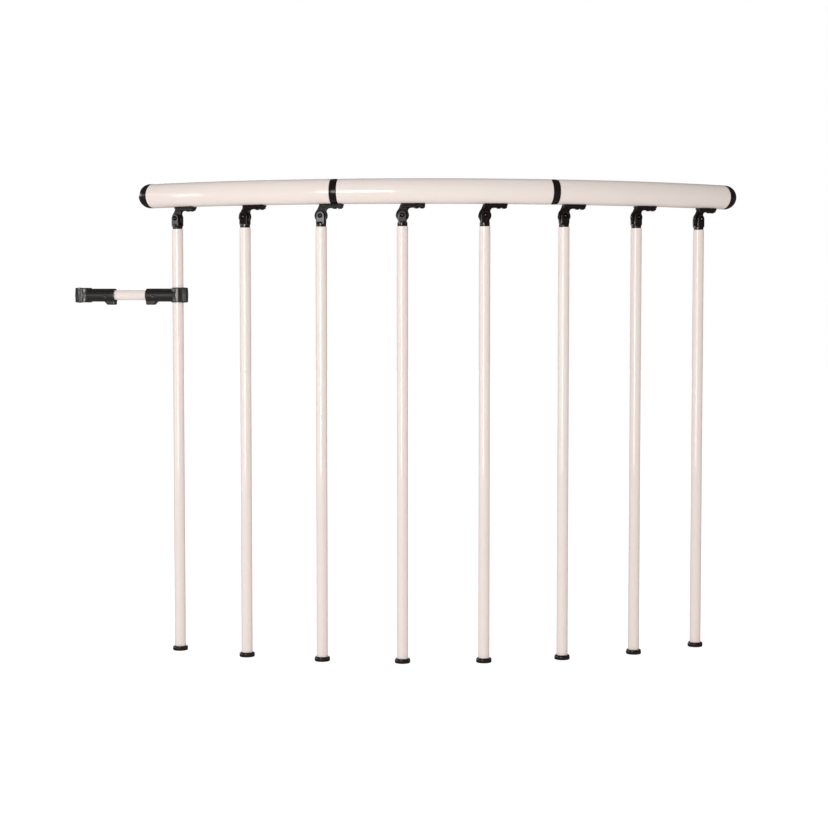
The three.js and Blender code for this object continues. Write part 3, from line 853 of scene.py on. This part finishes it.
def clamp_bores(x, y, z):
    """The bores for the post, the arm's tube and both set screws, and a dimple in each side."""
    post_bore = np.hypot(x, y) - POST_RADIUS - FIT_GAP
    tube_bore = np.maximum(np.hypot(y, z) - ARM_TUBE_RADIUS - FIT_GAP, SOCKET_FLOOR - x)
    boss_bore = np.maximum(np.hypot(x - BOSS_SCREW_PLACE, y) - SET_SCREW_RADIUS - FIT_GAP, z)
    lug_bore = np.maximum(np.hypot(y, z) - SET_SCREW_RADIUS - FIT_GAP, x)
    dimple = np.hypot(x - DIMPLE_PLACE, z + DIMPLE_DROP) - DIMPLE_RADIUS
    dimple = np.maximum(dimple, SOCKET_RADIUS - DIMPLE_DEPTH - np.abs(y))
    return np.minimum.reduce((post_bore, tube_bore, boss_bore, lug_bore, dimple))


def clamp_field(points):
    """The tee clamp, measured from the middle of its collar."""
    x, y, z = np.moveaxis(points, -1, 0)
    return cut(clamp_body(x, y, z), clamp_bores(x, y, z), EDGE_BLEND / 2)


def cross(angle):
    """The radius of a cross recess at an angle."""
    across = max(abs(math.cos(angle)), TINY)
    along = max(abs(math.sin(angle)), TINY)
    first = min(CROSS_REACH / across, CROSS_HALF_WIDTH / along)
    second = min(CROSS_REACH / along, CROSS_HALF_WIDTH / across)
    return max(first, second)


def hexagon(angle):
    """The radius of a hexagon socket at an angle."""
    sector = math.pi / 3
    return KEY_RADIUS * math.cos(sector / 2) / math.cos(angle % sector - sector / 2)


def flange_screw(place):
    """A pan-head screw with a cross recess, head down, under the flange."""
    seat = PIVOT_HEIGHT + RIB_UNDERSIDE - FIT_GAP
    bottom = seat - SCREW_HEAD_HEIGHT
    tip = RAIL_BOTTOM + RAIL_WALL + FIT_GAP + SLEEVE_WALL + SCREW_REACH
    profile = softened([
        (SCREW_HEAD_RADIUS * SCREW_CROWN_SHARE, bottom, SCREW_CROWN_ROUND),
        (SCREW_HEAD_RADIUS, seat - SCREW_HEAD_HEIGHT / 2, SCREW_SIDE_ROUND),
        (SCREW_HEAD_RADIUS, seat, SCREW_SEAT_EDGE),
        (SCREW_SHANK_RADIUS, seat, 0),
        (SCREW_SHANK_RADIUS, tip - SCREW_SHANK_RADIUS, 0),
        (0, tip, 0),
    ])
    floor = bottom + CROSS_DEPTH
    recess = [
        (0, floor),
        (CROSS_REACH, floor, lambda angle: CROSS_TAPER_SHARE * cross(angle)),
        (CROSS_REACH, bottom, cross),
        (CROSS_REACH, bottom, lambda angle: max(cross(angle), CROSS_REACH * CROSS_RIM_SHARE)),
    ]
    vertices, faces = turned(recess + profile[1:], SCREW_SIDES, closed=False)
    return vertices + (place, 0, 0), faces


def rivet():
    """A rivet along Y, with a domed head at the back and a rolled end with a bright eye at the front."""
    seat = EAR_OUTER_FACE + FIT_GAP
    lip = seat + RIVET_LIP_THICKNESS
    eye = RIVET_EYE_SINK - lip
    groove = RIVET_GROOVE_FLOOR - seat
    profile = [(0, eye, 0)]
    for angle in np.radians(np.arange(RIVET_EYE_ARC_STEP, 90, RIVET_EYE_ARC_STEP)):
        height = eye + RIVET_EYE_RADIUS * (1 - math.cos(angle))
        profile.append((RIVET_EYE_RADIUS * math.sin(angle), height, 0))
    profile += [
        (RIVET_EYE_RADIUS + RIVET_EYE_SINK, groove, RIVET_GROOVE_EDGE),
        (RIVET_GROOVE_RADIUS, groove, RIVET_GROOVE_EDGE),
        (RIVET_LIP_RADIUS - RIVET_LIP_CROWN, -lip, RIVET_LIP_ROUND),
        (RIVET_LIP_RADIUS, -lip, RIVET_EDGE),
        (RIVET_LIP_RADIUS, -seat, RIVET_SEAT_EDGE),
        (RIVET_RADIUS, -seat, 0),
        (RIVET_RADIUS, seat, 0),
        (RIVET_HEAD_RADIUS, seat, RIVET_EDGE),
    ]
    for angle in np.radians(np.arange(RIVET_HEAD_ARC_STEP, 90, RIVET_HEAD_ARC_STEP)):
        height = seat + RIVET_HEAD_HEIGHT * math.sin(angle)
        profile.append((RIVET_HEAD_RADIUS * math.cos(angle), height, 0))
    profile.append((0, seat + RIVET_HEAD_HEIGHT, 0))
    return turned(softened(profile), RIVET_SIDES, along_y, closed=False)


def arm_tube():
    inner = ARM_TUBE_RADIUS - ARM_TUBE_WALL
    start = SOCKET_FLOOR + FIT_GAP
    end = ARM_SPAN - start
    profile = [
        (inner, start, POST_EDGE),
        (ARM_TUBE_RADIUS, start, POST_EDGE),
        (ARM_TUBE_RADIUS, end, POST_EDGE),
        (inner, end, POST_EDGE),
    ]
    return turned(softened(profile), POST_SIDES, along_x)


def set_screw(mouth, end):
    """A grub screw from its keyed mouth up to its end, on an upright axis."""
    floor = mouth + KEY_DEPTH
    profile = [
        (0, floor),
        (KEY_RADIUS, floor, hexagon),
        (KEY_RADIUS, mouth, hexagon),
        (KEY_RADIUS * SET_SCREW_RIM_SHARE, mouth),
    ]
    outside = softened([
        (SET_SCREW_RADIUS, mouth, SET_SCREW_EDGE),
        (SET_SCREW_RADIUS, end, SET_SCREW_END_EDGE),
        (0, end, 0),
    ])
    return turned(profile + outside, SCREW_SIDES, closed=False)


# Building
def build_rail():
    half = RING_LENGTH / 2
    spans = {
        "left": (RAIL_START, RING_PLACES[0] - half - FIT_GAP),
        "middle": (RING_PLACES[0] + half + FIT_GAP, RING_PLACES[1] - half - FIT_GAP),
        "right": (RING_PLACES[1] + half + FIT_GAP, RAIL_END),
    }
    for side, (start, end) in spans.items():
        mesh = shape(f"rail {side}", rail_tube(start, end), CREAM)
        piece(f"handrail_{side}", mesh, AT_BEND, "handrail", "cream_paint", f"rail_tube_{side}")
    ends = {"left": (RING_PLACES[0], RAIL_START, -1), "right": (RING_PLACES[1], RAIL_END, 1)}
    for side, (ring_place, end, outward) in ends.items():
        ring = shape(f"ring {side}", coupler(ring_place), BLACK)
        piece(f"ring_{side}", ring, AT_BEND, "handrail", "black_plastic", f"coupler_{side}")
        cap = shape(f"cap {side}", end_cap(end, outward), BLACK)
        piece(f"cap_{side}", cap, AT_BEND, "handrail", "black_plastic", f"end_cap_{side}")


def build_posts():
    aside = FLANGE_WIDTH / 2 + NET_MARGIN
    bracket_low = (-KNUCKLE_RADIUS - NET_MARGIN, -aside, -KNUCKLE_RADIUS - NET_MARGIN)
    bracket_high = (FLANGE_FRONT + NET_MARGIN, aside, PIVOT_DROP + NET_TOP_MARGIN)
    bracket_net = netted(bracket_field, bracket_low, bracket_high, MOULD_PITCH)
    bracket = shape("bracket", bracket_net, BLACK, even=False)
    reach = FORK_COLLAR_RADIUS + NET_MARGIN
    fork_low = (-reach, -reach, -FORK_BOTTOM_DROP - FORK_PLUG_LENGTH - NET_MARGIN)
    fork_high = (reach, reach, EAR_RADIUS + NET_MARGIN)
    fork_net = netted(fork_field, fork_low, fork_high, MOULD_PITCH)
    fork = shape("fork", fork_net, SMOOTH_BLACK, even=False)
    tube = shape("post tube", post_tube(), CREAM)
    sole = shape("foot", foot(), RUBBER)
    pin = shape("rivet", rivet(), RIVET)
    screw = shape("flange screw", flange_screw(SCREW_PLACE), DARK_STEEL)
    second = shape("second flange screw", flange_screw(SECOND_SCREW_PLACE), DARK_STEEL)
    for number in range(1, POST_COUNT + 1):
        floor = station(number)
        pivot = station(number, PIVOT_HEIGHT)
        post = f"post_{number}"
        piece(f"hinge_{number}", bracket, pivot, "handrail", "black_plastic", f"bracket_{number}")
        piece(f"screw_{number}", screw, floor, "handrail", "dark_steel", f"bracket_screw_{number}")
        piece(f"second_screw_{number}", second, floor, "handrail", "dark_steel")
        piece(f"post_fork_{number}", fork, pivot, post, "black_plastic", f"fork_{number}")
        piece(f"rivet_{number}", pin, pivot, post, "rivet_steel", f"pivot_rivet_{number}")
        piece(f"tube_{number}", tube, floor, post, "cream_paint", f"post_tube_{number}")
        piece(f"rubber_foot_{number}", sole, floor, post, "foot_rubber", f"foot_{number}")


def build_arm():
    half = COLLAR_HEIGHT / 2
    low = (-LUG_REACH - NET_MARGIN, -COLLAR_RADIUS - NET_MARGIN, -BOSS_DEPTH - NET_MARGIN)
    high = (SOCKET_REACH + NET_MARGIN, COLLAR_RADIUS + NET_MARGIN, half + NET_MARGIN)
    clamp_net = netted(clamp_field, low, high, CLAMP_PITCH)
    clamp = shape("tee clamp", clamp_net, SATIN_BLACK, even=False)
    boss_screw = set_screw(-BOSS_DEPTH + SET_SCREW_RECESS, -ARM_TUBE_RADIUS - FIT_GAP)
    boss_mesh = shape("boss set screw", boss_screw, DARK_STEEL)
    lug_screw = set_screw(-LUG_REACH + SET_SCREW_RECESS, -POST_RADIUS - FIT_GAP)
    lug_mesh = shape("lug set screw", lug_screw, DARK_STEEL)
    to_boss = Matrix.Translation((BOSS_SCREW_PLACE * MM, 0, 0))
    to_lug = Matrix.Rotation(math.pi / 2, 4, "Y")
    direction = Vector(JOINTS["arm_slide"]["axis"])
    ends = {
        "inner": axes_at(JOINTS["arm_swivel"]["pos_m"], direction),
        "outer": axes_at(JOINTS["arm_turn"]["pos_m"], -direction),
    }
    for side, place in ends.items():
        body = f"arm_{side}"
        piece(f"clamp_{side}", clamp, place, body, "black_plastic", f"arm_clamp_{side}")
        piece(f"boss_screw_{side}", boss_mesh, place @ to_boss, body, "dark_steel", f"arm_screw_{side}")
        piece(f"lug_screw_{side}", lug_mesh, place @ to_lug, body, "dark_steel")
    tube = shape("arm tube", arm_tube(), CREAM)
    piece("arm_reach_tube", tube, ends["inner"], "arm_reach", "cream_paint", "arm_tube")


build_rail()
build_posts()
build_arm()


# Camera, floor and light, in metres and watts, measured from the bend's centre on the floor
CAMERA_ASIDE = -0.1462
CAMERA_BACK = 3.4192
CAMERA_HEIGHT = 0.5171
CAMERA_HEADING = math.radians(2.18)
CAMERA_PITCH = math.radians(-3.31)
FOCAL_PIXELS = 1917.2

WHITE = (1, 1, 1, 1)
FLOOR_SIZE = 24.0
FLOOR_TONE = (0.86, 0.86, 0.86, 1)
FLOOR_ROUGHNESS = 0.8
FLOOR_SHARE = 0.35
FLOOR_GLOW = 1.29
FLOOR_BOUNCE = 0.06
FLOOR_MIRRORED = 0.15
KEY_PLACE = (-1.13, -3.41, 0.45)
KEY_WIDTH = 1.16
KEY_TALL = 0.88
KEY_POWER = 25.5
FILL_PLACE = (1.4, -4.0, 0.9)
FILL_WIDTH = 3.0
FILL_TALL = 2.2
FILL_POWER = 14.5
SIDE_PLACE = (-2.54, -1.46, 0.45)
SIDE_WIDTH = 0.45
SIDE_TALL = 0.85
SIDE_POWER = 4.5
AIM_HEIGHT = 0.45
SOFT_LEVELS = (0.37, 0.52)
SOFT_BEHIND = 0.45
SOFT_ABOVE = 0.34
MIRROR_LEVELS = (0.06, 4.0)

# Where the world's light changes, by the X, Y or Z of the direction that it comes from
LEFT_SPAN = (-0.2, 0.3)
LOW_SPAN = (0.1, 0.6)
LOW_LEVELS = (1, 0.5)
BEHIND_SPAN = (-0.1, 0.7)
ABOVE_SPAN = (0.35, 0.9)
STRIP_BEHIND_SPAN = (-0.5, 0.1)
STRIP_FOOT_SPAN = (0.02, 0.1)
STRIP_FOOT_LEVELS = (0.1, 1)
STRIP_HEAD_SPAN = (0.1, 0.3)


def add_camera():
    data = bpy.data.cameras.new("camera")
    data.sensor_width = SENSOR_WIDTH
    data.lens = FOCAL_PIXELS * SENSOR_WIDTH / IMAGE_WIDTH
    camera = bpy.data.objects.new("camera", data)
    bpy.context.scene.collection.objects.link(camera)
    place = BEND_CENTRE + Vector((CAMERA_ASIDE, -CAMERA_BACK, CAMERA_HEIGHT))
    turn = Matrix.Rotation(-CAMERA_HEADING, 4, "Z") @ Matrix.Rotation(math.pi / 2 + CAMERA_PITCH, 4, "X")
    camera.matrix_world = Matrix.Translation(place) @ turn
    bpy.context.scene.camera = camera


def add_floor():
    """A pale floor that shows near white to the camera and keeps the object's shadow."""
    mesh = bpy.data.meshes.new("floor")
    half = FLOOR_SIZE / 2
    corners = [(-half, -half, 0), (half, -half, 0), (half, half, 0), (-half, half, 0)]
    mesh.from_pydata(corners, [], [(0, 1, 2, 3)])
    floor = bpy.data.objects.new("floor", mesh)
    bpy.context.scene.collection.objects.link(floor)
    material = bpy.data.materials.new("pale floor")
    material.use_nodes = True
    tree = material.node_tree
    shader = tree.nodes["Principled BSDF"]
    shader.inputs["Base Color"].default_value = FLOOR_TONE
    shader.inputs["Roughness"].default_value = FLOOR_ROUGHNESS
    shader.inputs["Emission Color"].default_value = WHITE
    shader.inputs["Emission Strength"].default_value = FLOOR_BOUNCE
    glow = node(tree, "ShaderNodeEmission")
    glow.inputs["Strength"].default_value = FLOOR_GLOW
    light_path = node(tree, "ShaderNodeLightPath")
    share = node(tree, "ShaderNodeMath", operation="MULTIPLY")
    share.inputs[1].default_value = 1 - FLOOR_SHARE
    tree.links.new(light_path.outputs["Is Camera Ray"], share.inputs[0])
    shown = mixed(tree, share.outputs[0], shader.outputs[0], glow.outputs[0])
    dim = node(tree, "ShaderNodeEmission")
    dim.inputs["Strength"].default_value = FLOOR_MIRRORED
    surface = mixed(tree, light_path.outputs["Is Glossy Ray"], shown, dim.outputs[0])
    tree.links.new(surface, tree.nodes["Material Output"].inputs["Surface"])
    mesh.materials.append(material)


def add_world():
    """White for the camera, soft light with more from the left, behind and above, and a strip to mirror."""
    world = bpy.data.worlds.new("studio")
    bpy.context.scene.world = world
    world.use_nodes = True
    tree = world.node_tree
    tree.nodes.clear()
    light_path = node(tree, "ShaderNodeLightPath")
    split = node(tree, "ShaderNodeSeparateXYZ")
    tree.links.new(node(tree, "ShaderNodeTexCoord").outputs["Generated"], split.inputs[0])
    x, y, z = split.outputs
    left = ramp(tree, x, LEFT_SPAN, (1, 0))
    glow = reckoned(tree, "MULTIPLY", left, ramp(tree, z, LOW_SPAN, LOW_LEVELS))
    far = ramp(tree, y, BEHIND_SPAN, (0, SOFT_BEHIND))
    above = ramp(tree, z, ABOVE_SPAN, (0, SOFT_ABOVE))
    around = ramp(tree, glow, (0, 1), SOFT_LEVELS)
    soft_level = reckoned(tree, "ADD", around, reckoned(tree, "ADD", far, above))
    behind = reckoned(tree, "MULTIPLY", left, ramp(tree, y, STRIP_BEHIND_SPAN, (0, 1)))
    foot_of_strip = ramp(tree, z, STRIP_FOOT_SPAN, STRIP_FOOT_LEVELS)
    strip = reckoned(tree, "MULTIPLY", foot_of_strip, ramp(tree, z, STRIP_HEAD_SPAN, (1, 0)))
    level = reckoned(tree, "MULTIPLY", behind, strip)
    shown, soft, mirrored = (node(tree, "ShaderNodeBackground") for _ in range(3))
    for background in (shown, soft, mirrored):
        background.inputs["Color"].default_value = WHITE
    shown.inputs["Strength"].default_value = 1.0
    tree.links.new(soft_level, soft.inputs["Strength"])
    tree.links.new(ramp(tree, level, (0, 1), MIRROR_LEVELS), mirrored.inputs["Strength"])
    lighting = mixed(tree, light_path.outputs["Is Glossy Ray"], soft.outputs[0], mirrored.outputs[0])
    rays = (light_path.outputs[f"Is {kind} Ray"] for kind in ("Camera", "Transmission"))
    seen = reckoned(tree, "MAXIMUM", *rays)
    output = node(tree, "ShaderNodeOutputWorld")
    tree.links.new(mixed(tree, seen, lighting, shown.outputs[0]), output.inputs["Surface"])


def add_lamp(name, offset, width, tall, power, mirrored=True):
    """A soft box that points at the middle of the guard."""
    place = BEND_CENTRE + Vector(offset)
    aim = BEND_CENTRE + Vector((0, -BEND_RADIUS * MM, AIM_HEIGHT))
    data = bpy.data.lights.new(name, "AREA")
    data.shape = "RECTANGLE"
    data.size, data.size_y = width, tall
    data.energy = power
    lamp = bpy.data.objects.new(name, data)
    bpy.context.scene.collection.objects.link(lamp)
    turn = (aim - place).to_track_quat("-Z", "Y").to_matrix().to_4x4()
    lamp.matrix_world = Matrix.Translation(place) @ turn
    lamp.visible_glossy = mirrored


def add_lamps():
    """A key box to the left of the camera, a dim box at the far left, and a fill that is not mirrored."""
    add_lamp("key box", KEY_PLACE, KEY_WIDTH, KEY_TALL, KEY_POWER)
    add_lamp("side box", SIDE_PLACE, SIDE_WIDTH, SIDE_TALL, SIDE_POWER)
    add_lamp("front fill", FILL_PLACE, FILL_WIDTH, FILL_TALL, FILL_POWER, mirrored=False)


add_camera()
add_floor()
add_world()
add_lamps()
bpy.context.scene.view_settings.view_transform = "Standard"
